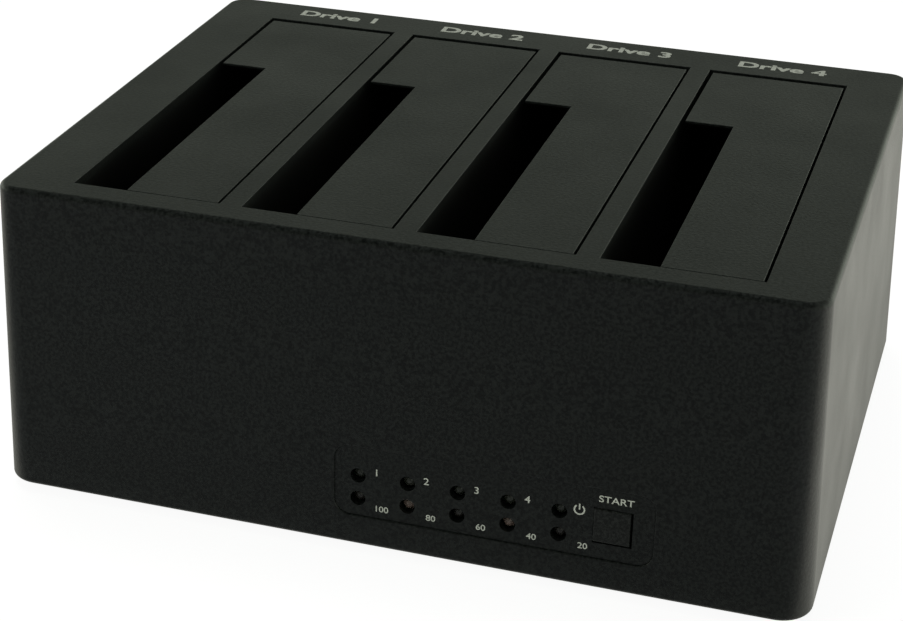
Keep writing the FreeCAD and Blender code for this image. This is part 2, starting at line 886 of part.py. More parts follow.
def socket_contacts(bay):
    x0, x1, y0, y1 = socket_bounds(bay)
    low = socket_mouth - socket_slot_depth
    x = (x0 + x1) / 2 + socket_slot_offset - socket_slot_width / 2
    blades = []
    for start, length, count in socket_slots(bay):
        first = start + length / 2 - contact_pitch * (count - 1) / 2
        for number in range(count):
            y = first + number * contact_pitch
            blade = box(x, x + contact_thickness, y - contact_width / 2, y + contact_width / 2,
                        low, low + contact_height)
            blades.append(blade)
    return Part.makeCompound(blades)


# Control panel, button and lamps

def control_panel():
    plate = rounded_block(panel_width - 2 * panel_clearance, panel_height - 2 * panel_clearance,
                          panel_corner_radius - panel_clearance, panel_centre_x, panel_centre_height,
                          -panel_set_back - panel_thickness, -panel_set_back)
    low = -panel_set_back - panel_thickness - overrun
    cuts = []
    for height in (led_upper_height, led_lower_height):
        for x, level in led_places(height):
            cuts.append(upright(led_hole_radius, x, level, low, overrun))
    cuts.append(box(button_window_left, button_window_right,
                    button_window_bottom, button_window_top, low, overrun))
    return on_front_wall(plate.cut(cuts))


def start_button():
    face = button_proud - panel_set_back
    flange_front = -wall_thickness - button_flange_gap
    flange_back = flange_front - button_flange_thickness
    x0 = button_window_left + button_gap_left
    x1 = button_window_right - button_gap_right
    low = button_window_bottom + button_gap_bottom
    high = button_window_top - button_gap_top
    cap = box(x0, x1, low, high, flange_back, face)
    cap = cap.makeFillet(button_edge_radius, edges_where(cap, lies_at(face)))
    flange = box(x0 - button_flange, x1 + button_flange, low - button_flange, high + button_flange,
                 flange_back, flange_front)
    return on_front_wall(fused([cap, flange]))


def button_centre():
    x = (button_window_left + button_window_right) / 2
    height = (button_window_bottom + button_window_top) / 2
    return x, height


def led_board_front():
    return -wall_thickness - led_board_distance


def switch_body():
    x, height = button_centre()
    face = led_board_front() + switch_height
    half = switch_size / 2
    body = box(x - half, x + half, height - half, height + half, led_board_front(), face)
    body = body.cut(upright(plunger_radius + plunger_clearance, x, height,
                            led_board_front() + switch_floor, face + overrun))
    return on_front_wall(body)


def switch_plunger():
    x, height = button_centre()
    start = led_board_front() + switch_height - plunger_engagement
    end = -wall_thickness - button_flange_gap - button_flange_thickness
    return on_front_wall(upright(plunger_radius, x, height, start, end))


def leds(height):
    lamps = []
    base = led_board_front()
    tip = -panel_set_back - led_set_back
    for x, level in led_places(height):
        flange = upright(led_flange_radius, x, level, base, base + led_flange_height)
        barrel = upright(led_radius, x, level, base, tip - led_radius)
        dome = Part.makeSphere(led_radius, vector(x, level, tip - led_radius))
        lamps.append(on_front_wall(fused([flange, barrel, dome])))
    return Part.makeCompound(lamps)


# Boards and what they carry

def led_board():
    x0 = panel_centre_x - led_board_width / 2
    back = led_board_front() - board_thickness
    plate = box(x0, x0 + led_board_width, led_board_bottom, led_board_top, back, led_board_front())
    holes = [upright(led_screw_radius + led_screw_clearance, x, height, back - overrun, 0)
             for x, height in led_board_screw_places()]
    return on_front_wall(plate.cut(holes))


def led_board_screws():
    screws = []
    seat = led_board_front() - board_thickness
    for x, height in led_board_screw_places():
        head = upright(led_screw_head_radius, x, height, seat - led_screw_head_height, seat)
        shank = upright(led_screw_radius, x, height, seat, seat + led_screw_length)
        screw = fused([head, shank])
        crown = seat - led_screw_head_height
        cut = cross_recess(led_screw_head_radius, x, height, crown - overrun, crown + led_screw_recess)
        screws.append(on_front_wall(screw.cut(cut)))
    return Part.makeCompound(screws)


def main_board():
    plate = box(board_left, board_right, front + board_inset_front, rear - board_inset_rear,
                board_bottom, board_top)
    holes = [upright(board_screw_radius + board_screw_clearance, x, y, bottom, top)
             for x, y in board_screw_places()]
    return plate.cut(holes)


def board_screws():
    screws = []
    for x, y in board_screw_places():
        crown = board_top + board_screw_head_height
        head = upright(board_screw_head_radius, x, y, board_top, crown)
        head = head.makeFillet(board_screw_edge_radius, edges_where(head, lies_at(crown)))
        shank = upright(board_screw_radius, x, y, board_top - board_screw_length, board_top)
        screw = fused([head, shank])
        screws.append(screw.cut(cross_recess(board_screw_head_radius, x, y,
                                             crown - board_screw_recess, crown + overrun)))
    return Part.makeCompound(screws)


def on_board(x, y, length, width, height):
    return box(x - length / 2, x + length / 2, y - width / 2, y + width / 2, board_top, board_top + height)


def controller_chips():
    chips = []
    for bay in range(bay_count):
        x0, x1, y0, y1 = socket_bounds(bay)
        chips.append(on_board(x1 + chip_to_socket_gap + bridge_chip_size / 2, (y0 + y1) / 2,
                              bridge_chip_size, bridge_chip_size, chip_height))
    x, y = beside_bridge_chip(main_chip_bay, main_chip_size, main_chip_size)
    chips.append(on_board(x, y, main_chip_size, main_chip_size, chip_height))
    return Part.makeCompound(chips)


def beside_bridge_chip(bay, length, width):
    """Middle of a part that stands in front of a bay's bridge chip, beside the socket."""
    x0, x1, y0, y1 = socket_bounds(bay)
    chip_front = (y0 + y1) / 2 - bridge_chip_size / 2
    return x1 + chip_to_socket_gap + length / 2, chip_front - main_chip_gap - width / 2


def capacitors():
    cans = []
    y = rear - capacitor_from_rear
    for number in range(capacitor_count):
        x = left + capacitor_first_x + number * capacitor_pitch
        can = upright(capacitor_radius, x, y, board_top, board_top + capacitor_height)
        groove = Part.makeTorus(capacitor_radius, capacitor_groove,
                                vector(x, y, board_top + capacitor_groove_height))
        cans.append(can.cut(groove))
    return Part.makeCompound(cans)


def inductors():
    coils = []
    for bay in range(bay_count):
        x0, x1, y0, y1 = socket_bounds(bay)
        coil = on_board(x1 + chip_to_socket_gap + bridge_chip_size / 2, y1 + inductor_past_socket,
                        inductor_size, inductor_size, inductor_height)
        upper = edges_where(coil, lies_at(board_top + inductor_height))
        coils.append(coil.makeChamfer(inductor_chamfer, upper))
    return Part.makeCompound(coils)


def crystal():
    x, y = beside_bridge_chip(crystal_bay, crystal_width, crystal_length)
    can = on_board(x, y, crystal_width, crystal_length, crystal_height)
    upper = edges_where(can, lies_at(board_top + crystal_height))
    return can.makeFillet(crystal_edge_radius, upper)


def led_board_back():
    """How far back the lamp board's rear face lies at the height of the header."""
    lean = flare_at(bottom) - flare_at(board_top + header_size / 2)
    return front - wall_flare + lean + wall_thickness + led_board_distance + board_thickness


def board_header():
    start = led_board_back() + header_gap
    length = header_pin_count * header_pitch
    return box(panel_centre_x - length / 2, panel_centre_x + length / 2, start, start + header_size,
               board_top, board_top + header_size)


def header_pins():
    back = led_board_back()
    half = header_pin_size / 2
    z = board_top + header_size / 2
    pins = []
    for number in range(header_pin_count):
        x = panel_centre_x + (number - (header_pin_count - 1) / 2) * header_pitch
        pins.append(box(x - half, x + half, back + header_pin_gap, back + header_gap, z - half, z + half))
    return Part.makeCompound(pins)


# Rear sockets and switch

def rear_inner_face(z):
    return rear + flare_at(z) - wall_thickness


def dc_jack():
    x = left + jack_x
    mouth = rear_inner_face(board_top + jack_height) - rear_part_gap
    body = on_board(x, mouth - jack_length / 2, jack_width, jack_length, jack_height)
    jack_top = board_top + jack_height
    shoulder = box(x - jack_width / 2 - overrun, x + jack_width / 2 + overrun,
                   mouth - jack_length - overrun, mouth - jack_collar_length,
                   jack_top - jack_collar_step, jack_top + overrun)
    axis_z = board_top + jack_axis_height
    bore = lengthwise(jack_bore_radius, x, axis_z, mouth - jack_bore_depth, mouth + overrun)
    return body.cut([shoulder, bore])


def dc_jack_pin():
    x = left + jack_x
    mouth = rear_inner_face(board_top + jack_height) - rear_part_gap
    axis_z = board_top + jack_axis_height
    end = mouth - jack_pin_set_back
    pin = lengthwise(jack_pin_radius, x, axis_z, mouth - jack_bore_depth, end)
    tip = [edge for edge in pin.Edges if abs(edge.BoundBox.YMin - end) < same_place]
    return pin.makeFillet(jack_pin_radius / 2, tip)


def usb_outline(inset):
    """Outline of the port across its depth: a square with two bevelled upper corners."""
    x0 = left + usb_x - usb_width / 2 + inset
    x1 = left + usb_x + usb_width / 2 - inset
    z0 = board_top + inset
    z1 = board_top + usb_height - inset
    bevel = usb_corner
    points = [(x0, z0), (x1, z0), (x1, z1 - bevel), (x1 - bevel, z1), (x0 + bevel, z1), (x0, z1 - bevel)]
    return [vector(x, 0, z) for x, z in points]


def usb_mouth():
    return rear + flare_at(board_top + usb_height) - usb_recess


def usb_prism(inset, y0, y1):
    points = usb_outline(inset)
    wire = Part.makePolygon(points + [points[0]])
    prism = Part.Face(wire).extrude(vector(0, y1 - y0, 0))
    prism.translate(vector(0, y0, 0))
    return prism


def usb_shell():
    back = usb_mouth() - usb_length
    sleeve = usb_prism(0, back, usb_mouth())
    return sleeve.cut(usb_prism(usb_sheet, back + usb_sheet, usb_mouth() + overrun))


def usb_insulator():
    x = left + usb_x
    middle = board_top + usb_height / 2 - usb_tongue_drop
    back = usb_mouth() - usb_length
    tip = usb_mouth() - usb_tongue_recess
    block = usb_prism(usb_sheet, back + usb_sheet, usb_mouth() - usb_mouth_depth)
    start = usb_mouth() - usb_mouth_depth - root
    tongue = box(x - usb_tongue_width / 2, x + usb_tongue_width / 2, start, tip,
                 middle - usb_tongue_height / 2, middle + usb_tongue_height / 2)
    upper_low = middle + usb_tongue_height / 2 + usb_upper_tongue_gap
    upper = box(x - usb_upper_tongue_width / 2, x + usb_upper_tongue_width / 2, start, tip,
                upper_low, upper_low + usb_upper_tongue_height)
    return fused([block, tongue, upper])


def rocker_axis():
    z = board_top + switch_housing_height / 2
    return vector(rocker_x, rear_inner_face(z) - rocker_axis_inset, z)


def power_switch_housing():
    axis = rocker_axis()
    face = rear_inner_face(board_top + switch_housing_height) - rear_part_gap
    half = rocker_width / 2 + rocker_side_gap
    outer = half + switch_housing_wall
    body = box(axis.x - outer, axis.x + outer, face - switch_housing_length, face,
               board_top, board_top + switch_housing_height)
    back = axis.y - rocker_root - rocker_back_clearance
    cavity = box(axis.x - half, axis.x + half, back, face + overrun,
                 axis.z - switch_cavity_half_height, axis.z + switch_cavity_half_height)
    reach = half + rocker_trunnion_length + rocker_trunnion_end_gap
    bearing = Part.makeCylinder(rocker_trunnion_radius + rocker_trunnion_clearance, 2 * reach,
                                vector(axis.x - reach, axis.y, axis.z), vector(1, 0, 0))
    return body.cut([cavity, bearing])


def power_rocker():
    axis = rocker_axis()
    half = rocker_width / 2
    points = [(-rocker_root, -rocker_root_half_height), (-rocker_root, rocker_root_half_height),
              (rocker_crest, rocker_half_height), (rocker_valley, 0), (rocker_crest, -rocker_half_height)]
    corners = [vector(axis.x - half, axis.y + y, axis.z + z) for y, z in points]
    face = Part.Face(Part.makePolygon(corners + [corners[0]]))
    body = face.extrude(vector(rocker_width, 0, 0))
    reach = half + rocker_side_gap + rocker_trunnion_length
    trunnion = Part.makeCylinder(rocker_trunnion_radius, 2 * reach,
                                 vector(axis.x - reach, axis.y, axis.z), vector(1, 0, 0))
    rocker = fused([body, trunnion])
    rocker.rotate(axis, vector(1, 0, 0), rocker_tilt)
    return rocker


save("upper_case", upper_case())
save("base_plate", base_plate())
save("rubber_feet", rubber_feet())
save("case_screws", case_screws())
for bay in range(bay_count):
    number = str(bay + 1)
    save("bay_flap_" + number, flap(bay))
    save("flap_hinge_pin_" + number, hinge_pin(bay))
    save("flap_spring_" + number, flap_spring(bay))
    save("drive_well_" + number, drive_well(bay))
    save("sata_receptacle_" + number, drive_socket(bay))
    save("sata_contacts_" + number, socket_contacts(bay))
save("well_screws", well_screws())
save("control_panel", control_panel())
save("start_button", start_button())
save("switch_body", switch_body())
save("switch_plunger", switch_plunger())
save("status_leds", leds(led_upper_height))
save("progress_leds", leds(led_lower_height))
save("led_board", led_board())
save("led_board_screws", led_board_screws())
save("main_board", main_board())
save("board_screws", board_screws())
save("controller_chips", controller_chips())
save("capacitors", capacitors())
save("inductors", inductors())
save("crystal", crystal())
save("board_header", board_header())
save("header_pins", header_pins())
save("dc_jack", dc_jack())
save("dc_jack_pin", dc_jack_pin())
save("usb_shell", usb_shell())
save("usb_insulator", usb_insulator())
save("power_switch_housing", power_switch_housing())
save("power_rocker", power_rocker())
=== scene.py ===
import math

import bmesh
import bpy
from mathutils import Matrix, Vector


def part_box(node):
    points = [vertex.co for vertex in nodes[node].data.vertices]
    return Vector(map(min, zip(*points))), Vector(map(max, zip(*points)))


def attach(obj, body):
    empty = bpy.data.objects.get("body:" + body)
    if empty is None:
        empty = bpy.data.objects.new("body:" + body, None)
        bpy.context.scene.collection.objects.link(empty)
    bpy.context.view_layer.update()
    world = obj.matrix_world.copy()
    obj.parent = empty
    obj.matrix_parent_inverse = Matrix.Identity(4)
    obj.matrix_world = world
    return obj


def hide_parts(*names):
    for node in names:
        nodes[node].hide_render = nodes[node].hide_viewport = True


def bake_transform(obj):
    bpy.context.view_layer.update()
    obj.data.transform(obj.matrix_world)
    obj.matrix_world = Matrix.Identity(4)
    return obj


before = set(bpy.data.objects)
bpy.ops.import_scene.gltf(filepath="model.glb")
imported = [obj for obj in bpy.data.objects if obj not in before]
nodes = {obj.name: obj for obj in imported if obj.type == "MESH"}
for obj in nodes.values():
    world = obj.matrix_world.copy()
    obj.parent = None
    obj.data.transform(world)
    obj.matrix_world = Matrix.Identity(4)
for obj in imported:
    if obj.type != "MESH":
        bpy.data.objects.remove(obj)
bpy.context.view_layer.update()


# Camera: a short telephoto lens stands to the right of the middle and looks down on the top,
# so that the top, the front and a narrow strip of the right side show.
camera_data = bpy.data.cameras.new("camera")
camera_data.sensor_fit = "HORIZONTAL"
camera_data.sensor_width = 36.0
camera_data.lens = 84.129
camera_data.clip_start = 0.01
camera_data.clip_end = 20.0
camera = bpy.data.objects.new("camera", camera_data)
bpy.context.scene.collection.objects.link(camera)
camera_right = Vector((0.95488656, 0.29658009, 0.01522868))
camera_up = Vector((-0.14627795, 0.42509882, 0.89324899))
camera_back = Vector((0.25844618, -0.85517907, 0.44930428))
camera_place = Vector((0.112356, -0.392591, 0.229399))
camera_turn = Matrix((camera_right, camera_up, camera_back)).transposed().to_4x4()
camera.matrix_world = Matrix.Translation(camera_place) @ camera_turn
bpy.context.scene.camera = camera
bpy.context.scene.view_settings.view_transform = "Standard"


# Upper case: one shell of black ABS, injection moulded in a spark-eroded tool, which leaves
# a fine matt grain all over it. The walls lean in towards the top so that it leaves the mould.
def linear(colour):
    """An sRGB hex colour as linear red, green, blue and alpha."""
    channels = [int(colour[start:start + 2], 16) / 255 for start in (1, 3, 5)]
    return [c / 12.92 if c <= 0.04045 else ((c + 0.055) / 1.055) ** 2.4 for c in channels] + [1.0]


def add_node(tree, kind, settings=None, links=None):
    """Adds a shader node, sets its inputs or options by name, and links its inputs."""
    node = tree.nodes.new(kind)
    for name, value in (settings or {}).items():
        if isinstance(name, int) or name in node.inputs:
            node.inputs[name].default_value = value
        else:
            setattr(node, name, value)
    for name, source in (links or {}).items():
        tree.links.new(source, node.inputs[name])
    return node


def new_material(name):
    """A material with nothing in it but its output."""
    material = bpy.data.materials.new(name)
    material.use_nodes = True
    material.node_tree.nodes.clear()
    output = material.node_tree.nodes.new("ShaderNodeOutputMaterial")
    return material, material.node_tree, output.inputs["Surface"]


def finish_with(material, *names):
    """Gives CAD nodes one material."""
    for name in names:
        nodes[name].data.materials.clear()
        nodes[name].data.materials.append(material)
        for polygon in nodes[name].data.polygons:
            polygon.material_index = 0


def moulded_plastic(name, colour, light_colour, grain_mm, grain_height_mm, roughness, ior):
    """A moulded thermoplastic: an even colour that the grain of the tool breaks up."""
    material, tree, surface = new_material(name)
    place = add_node(tree, "ShaderNodeTexCoord").outputs["Object"]
    grain = add_node(tree, "ShaderNodeTexNoise",
                     {"Scale": 1000 / grain_mm, "Detail": 3.0, "Roughness": 0.6}, {"Vector": place})
    drift = add_node(tree, "ShaderNodeTexNoise",
                     {"Scale": 1000 / flow_mark_mm, "Detail": 2.0}, {"Vector": place})
    tint = add_node(tree, "ShaderNodeValToRGB", None, {"Fac": grain.outputs["Fac"]})
    tint.color_ramp.elements[0].position = 0.4
    tint.color_ramp.elements[0].color = linear(colour)
    tint.color_ramp.elements[1].position = 0.6
    tint.color_ramp.elements[1].color = linear(light_colour)
    gloss = add_node(tree, "ShaderNodeMapRange",
                     {"From Min": 0.3, "From Max": 0.7, "To Min": roughness - 0.04, "To Max": roughness + 0.04},
                     {"Value": drift.outputs["Fac"]})
    bump = add_node(tree, "ShaderNodeBump", {"Strength": 1.0, "Distance": grain_height_mm / 1000},
                    {"Height": grain.outputs["Fac"]})
    shader = add_node(tree, "ShaderNodeBsdfPrincipled", {"IOR": ior},
                      {"Base Color": tint.outputs["Color"], "Roughness": gloss.outputs["Result"],
                       "Normal": bump.outputs["Normal"]})
    tree.links.new(shader.outputs["BSDF"], surface)
    return material


# The real grain is about 0.15 mm, which is finer than a pixel here, so it is drawn at 0.65 mm.
flow_mark_mm = 22.0
case_plastic = moulded_plastic("abs_black_spark_eroded", "#040606", "#171a19", 0.65, 0.05, 0.42, 1.46)
finish_with(case_plastic, "upper_case")


# Base plate: the same ABS as the case, with vents under the board, held by four countersunk
# screws of blackened steel. Four rubber feet are glued into shallow recesses.
base_plastic = moulded_plastic("abs_black_base_moulded", "#0c0d0b", "#131412", 0.6, 0.02, 0.5, 1.46)
finish_with(base_plastic, "base_plate")
foot_rubber = moulded_plastic("rubber_black_moulded", "#121212", "#1b1b1b", 0.5, 0.01, 0.78, 1.5)
finish_with(foot_rubber, "rubber_feet")


def metal(name, colour, light_colour, line_mm, line_height_mm, roughness, stretch=(1.0, 1.0, 1.0)):
    """A bare or plated metal whose fine lines or pits come from how it was worked."""
    material, tree, surface = new_material(name)
    place = add_node(tree, "ShaderNodeTexCoord").outputs["Object"]
    along = add_node(tree, "ShaderNodeMapping", {"Scale": stretch}, {"Vector": place})
    lines = add_node(tree, "ShaderNodeTexNoise", {"Scale": 1000 / line_mm, "Detail": 4.0},
                     {"Vector": along.outputs["Vector"]})
    tint = add_node(tree, "ShaderNodeValToRGB", None, {"Fac": lines.outputs["Fac"]})
    tint.color_ramp.elements[0].position = 0.35
    tint.color_ramp.elements[0].color = linear(colour)
    tint.color_ramp.elements[1].position = 0.65
    tint.color_ramp.elements[1].color = linear(light_colour)
    gloss = add_node(tree, "ShaderNodeMapRange",
                     {"From Min": 0.3, "From Max": 0.7, "To Min": roughness - 0.06, "To Max": roughness + 0.06},
                     {"Value": lines.outputs["Fac"]})
    bump = add_node(tree, "ShaderNodeBump", {"Strength": 1.0, "Distance": line_height_mm / 1000},
                    {"Height": lines.outputs["Fac"]})
    shader = add_node(tree, "ShaderNodeBsdfPrincipled", {"Metallic": 1.0},
                      {"Base Color": tint.outputs["Color"], "Roughness": gloss.outputs["Result"],
                       "Normal": bump.outputs["Normal"]})
    tree.links.new(shader.outputs["BSDF"], surface)
    return material


screw_steel = metal("steel_blackened_screw", "#26272a", "#3a3b3f", 0.4, 0.004, 0.38)
finish_with(screw_steel, "case_screws")


# Drive wells: four open-topped boxes of black ABS under the bays. They are moulded without
# grain, because they hardly show, so they are a little smoother and darker than the case.
well_plastic = moulded_plastic("abs_black_plain_moulded", "#060606", "#0b0b0b", 0.6, 0.006, 0.42, 1.46)
finish_with(well_plastic, *["drive_well_%d" % bay for bay in (1, 2, 3, 4)])
zinc_steel = metal("steel_zinc_plated", "#9a9da0", "#c4c7c9", 0.4, 0.003, 0.32)
finish_with(zinc_steel, "well_screws", "board_screws", "led_board_screws")


# Drive sockets: glass-filled polyamide blocks that stand on the board, each with two slots
# for a drive's edge connector. Gold-plated blades line one side of each slot.
socket_nylon = moulded_plastic("polyamide_glass_filled_black", "#131314", "#222224", 0.25, 0.01, 0.55, 1.53)
finish_with(socket_nylon, *["sata_receptacle_%d" % bay for bay in (1, 2, 3, 4)])
contact_gold = metal("gold_plated_bronze", "#c9962f", "#e8c069", 0.15, 0.001, 0.25)
finish_with(contact_gold, *["sata_contacts_%d" % bay for bay in (1, 2, 3, 4)])


# Flaps: L-shaped ABS plates, moulded like the case with a slightly deeper grain. Each one turns
# on a steel pin along its right edge, and a small torsion spring of drawn wire closes it.
flap_plastic = moulded_plastic("abs_black_flap_spark_eroded", "#040606", "#171a19", 0.65, 0.065, 0.42, 1.46)
finish_with(flap_plastic, *["bay_flap_%d" % bay for bay in (1, 2, 3, 4)])
pin_steel = metal("steel_ground_pin", "#8d9093", "#b9bcbe", 0.2, 0.002, 0.24, (1.0, 0.04, 1.0))
finish_with(pin_steel, *["flap_hinge_pin_%d" % bay for bay in (1, 2, 3, 4)])
spring_steel = metal("spring_steel_drawn_wire", "#7c7e80", "#a5a7a9", 0.15, 0.002, 0.3)
finish_with(spring_steel, *["flap_spring_%d" % bay for bay in (1, 2, 3, 4)])

# Springs: each one is copied into a piece of its own with its placement baked in, and the CAD node is hidden.
# On the real dock the short leg at the coil's front end stays with the case and the long leg at its rear end
# follows the flap.
for bay in (1, 2, 3, 4):
    wire = bpy.data.objects.new("torsion_spring_%d" % bay, nodes["flap_spring_%d" % bay].data.copy())
    bpy.context.scene.collection.objects.link(wire)
    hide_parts("flap_spring_%d" % bay)
    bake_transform(wire)


# Bay numbers: light grey ink, pad printed on the rim behind each bay. The film is so thin that
# it takes on the grain below it, and its edges are a little soft.
def printed_ink(name, colour, light_colour, roughness):
    """A thin film of matt ink that shows small pinholes of the plastic's grain."""
    material, tree, surface = new_material(name)
    place = add_node(tree, "ShaderNodeTexCoord").outputs["Object"]
    film = add_node(tree, "ShaderNodeTexNoise", {"Scale": 1000 / pinhole_mm, "Detail": 3.0}, {"Vector": place})
    tint = add_node(tree, "ShaderNodeValToRGB", None, {"Fac": film.outputs["Fac"]})
    tint.color_ramp.elements[0].position = 0.25
    tint.color_ramp.elements[0].color = linear(colour)
    tint.color_ramp.elements[1].position = 0.55
    tint.color_ramp.elements[1].color = linear(light_colour)
    bump = add_node(tree, "ShaderNodeBump", {"Strength": 1.0, "Distance": pinhole_depth},
                    {"Height": film.outputs["Fac"]})
    shader = add_node(tree, "ShaderNodeBsdfPrincipled", {"Roughness": roughness, "IOR": 1.48},
                      {"Base Color": tint.outputs["Color"], "Normal": bump.outputs["Normal"]})
    tree.links.new(shader.outputs["BSDF"], surface)
    return material


pinhole_mm = 0.3
pinhole_depth = 0.000008
ink_thickness = 0.000012
ink_lift = 0.000008
capital_share = 0.72
ink_spread = 0.012


def add_text(mesh, words, x, y, height, plane, stretch=1.0, weight=0.0):
    """Adds a word as a thin raised film, centred at x and y of a plane, to a bmesh. Weight widens
    its strokes: the word is struck several times that far apart, each a little higher."""
    curve = bpy.data.curves.new("word", "FONT")
    curve.body = words
    curve.align_x = "CENTER"
    curve.align_y = "CENTER"
    curve.size = height / capital_share
    curve.extrude = ink_thickness
    curve.offset = height * ink_spread
    word = bpy.data.objects.new("word", curve)
    strikes = ((-1, -0.6), (-1, 0.6), (1, -0.6), (1, 0.6), (0, 0)) if weight else ((0, 0),)
    for number, (aside, up) in enumerate(strikes):
        shape = bpy.data.meshes.new_from_object(word)
        lift = ink_lift + number * ink_lift / 4
        shape.transform(plane @ Matrix.Translation((x + aside * weight / 2, y + up * weight / 2, lift))
                        @ Matrix.Diagonal((stretch, 1, 1, 1)))
        mesh.from_mesh(shape)
        bpy.data.meshes.remove(shape)
    bpy.data.objects.remove(word)
    bpy.data.curves.remove(curve)


def add_bar(mesh, x0, x1, y0, y1, plane):
    """Adds a thin rectangle of ink with small round corners to a bmesh."""
    radius = min(x1 - x0, y1 - y0) * 0.3
    outline = []
    for corner_x, corner_y, start in ((x1 - radius, y0 + radius, -90), (x1 - radius, y1 - radius, 0),
                                      (x0 + radius, y1 - radius, 90), (x0 + radius, y0 + radius, 180)):
        for step in range(4):
            angle = math.radians(start + 30 * step)
            outline.append((corner_x + radius * math.cos(angle), corner_y + radius * math.sin(angle)))
    add_prism(mesh, outline, plane)


def add_prism(mesh, outline, plane):
    """Adds a flat film of ink with this outline to a bmesh."""
    lower = [mesh.verts.new(plane @ Vector((x, y, ink_lift - ink_thickness))) for x, y in outline]
    upper = [mesh.verts.new(plane @ Vector((x, y, ink_lift + ink_thickness))) for x, y in outline]
    mesh.faces.new(upper)
    mesh.faces.new(lower[::-1])
    for number in range(len(outline)):
        after = (number + 1) % len(outline)
        mesh.faces.new((lower[number], lower[after], upper[after], upper[number]))


def add_piece(name, mesh, material, body):
    """Turns a bmesh into a named, flat-shaded piece that rides on a CAD body."""
    bmesh.ops.recalc_face_normals(mesh, faces=mesh.faces)
    data = bpy.data.meshes.new(name)
    mesh.to_mesh(data)
    mesh.free()
    for polygon in data.polygons:
        polygon.use_smooth = False
    data.materials.append(material)
    piece = bpy.data.objects.new(name, data)
    bpy.context.scene.collection.objects.link(piece)
    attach(piece, body)
    return piece


top_ink = printed_ink("ink_pad_printed_grey", "#6f716b", "#8e9089", 0.6)
top_plane = Matrix.Translation((0, 0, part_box("upper_case")[1].z))
bay_label_y = 0.05505
bay_label_x = (-0.05145, -0.01665, 0.01825, 0.05315)
cap_height = 0.0034
label_stretch = 1.38
stroke_weight = 0.0003
label_mesh = bmesh.new()
for number, x in enumerate(bay_label_x):
    add_text(label_mesh, "Drive %d" % (number + 1), x, bay_label_y, cap_height, top_plane,
             label_stretch, stroke_weight)
add_piece("print_bay_numbers", label_mesh, top_ink, "case")


# Control panel: a thin ABS plate let into the lower right of the front wall, flush but for
# its rounded outline, with ten lamp holes, a window for the button and small printed marks.
panel_plastic = moulded_plastic("abs_black_panel_fine_grain", "#040606", "#171a19", 0.6, 0.05, 0.42, 1.46)
finish_with(panel_plastic, "control_panel")

wall_flare = 0.00215
case_height = 0.065
wall_lean = math.atan(wall_flare / case_height)
panel_set_back = 0.00035
wall_foot = (0, -0.0634, 0.002)
panel_plane = (Matrix.Translation(wall_foot)
               @ Matrix.Rotation(math.radians(90) - wall_lean, 4, "X")
               @ Matrix.Translation((0, 0, -panel_set_back)))
first_lamp = -0.0057
lamp_pitch = 0.01005
lamp_x = [first_lamp + lamp_pitch * number for number in range(5)]
upper_row = 0.0153
lower_row = 0.0103
digit_aside, digit_above, digit_height = 0.0038, 0.0012, 0.0015
scale_aside, scale_below, scale_height = 0.0048, 0.0017, 0.0013
start_x, start_y, start_height = 0.04535, 0.0194, 0.0014
figure_stretch = 1.1
start_stretch = 1.2
ink = printed_ink("ink_pad_printed_grey_white", "#9a9c95", "#babcb5", 0.55)
panel_marks = bmesh.new()
for number in range(4):
    add_text(panel_marks, str(number + 1), lamp_x[number] + digit_aside, upper_row + digit_above,
             digit_height, panel_plane, figure_stretch)
for number, share in enumerate((100, 80, 60, 40, 20)):
    add_text(panel_marks, str(share), lamp_x[number] + scale_aside, lower_row - scale_below,
             scale_height, panel_plane, figure_stretch)
add_text(panel_marks, "START", start_x, start_y, start_height, panel_plane, start_stretch)


def add_ring(mesh, x, y, radius, line, plane, gap=0.0):
    """Adds a ring of ink to a bmesh, open at its top by an angle in degrees."""
    steps = 32
    section = ((radius + line / 2, -1), (radius + line / 2, 1), (radius - line / 2, 1), (radius - line / 2, -1))
    rows = []
    for step in range(steps + 1 if gap else steps):
        angle = math.radians(90 + gap / 2 + (360 - gap) * step / steps)
        rows.append([mesh.verts.new(plane @ Vector((x + ring * math.cos(angle), y + ring * math.sin(angle),
                                                    ink_lift + side * ink_thickness)))
                     for ring, side in section])
    for number in range(steps):
        row, after = rows[number], rows[(number + 1) % len(rows)]
        for edge in range(4):
            mesh.faces.new((row[edge], row[(edge + 1) % 4], after[(edge + 1) % 4], after[edge]))
    if gap:
        mesh.faces.new(rows[0])
        mesh.faces.new(rows[-1][::-1])


power_mark = (0.03836, 0.01637)
mark_radius = 0.00098
mark_line = 0.0003
mark_gap = 72
add_ring(panel_marks, *power_mark, mark_radius, mark_line, panel_plane, mark_gap)
add_bar(panel_marks, power_mark[0] - mark_line / 2, power_mark[0] + mark_line / 2,
        power_mark[1], power_mark[1] + mark_radius + mark_line, panel_plane)
add_piece("print_panel_marks", panel_marks, ink, "case")


# Start button: a square ABS key with a rounded rim that stands a little out of the panel. Its
# flange is behind the wall, and its back rests on the plunger of a small push switch.
button_plastic = moulded_plastic("abs_black_button_fine_grain", "#090b0a", "#1e201f", 0.6, 0.05, 0.42, 1.46)
finish_with(button_plastic, "start_button")
switch_plastic = moulded_plastic("polyamide_black_switch", "#161617", "#202021", 0.4, 0.004, 0.45, 1.53)
finish_with(switch_plastic, "switch_body")
plunger_plastic = moulded_plastic("acetal_white_turned", "#c9c8c2", "#dedcd5", 0.5, 0.003, 0.35, 1.48)
finish_with(plunger_plastic, "switch_plunger")


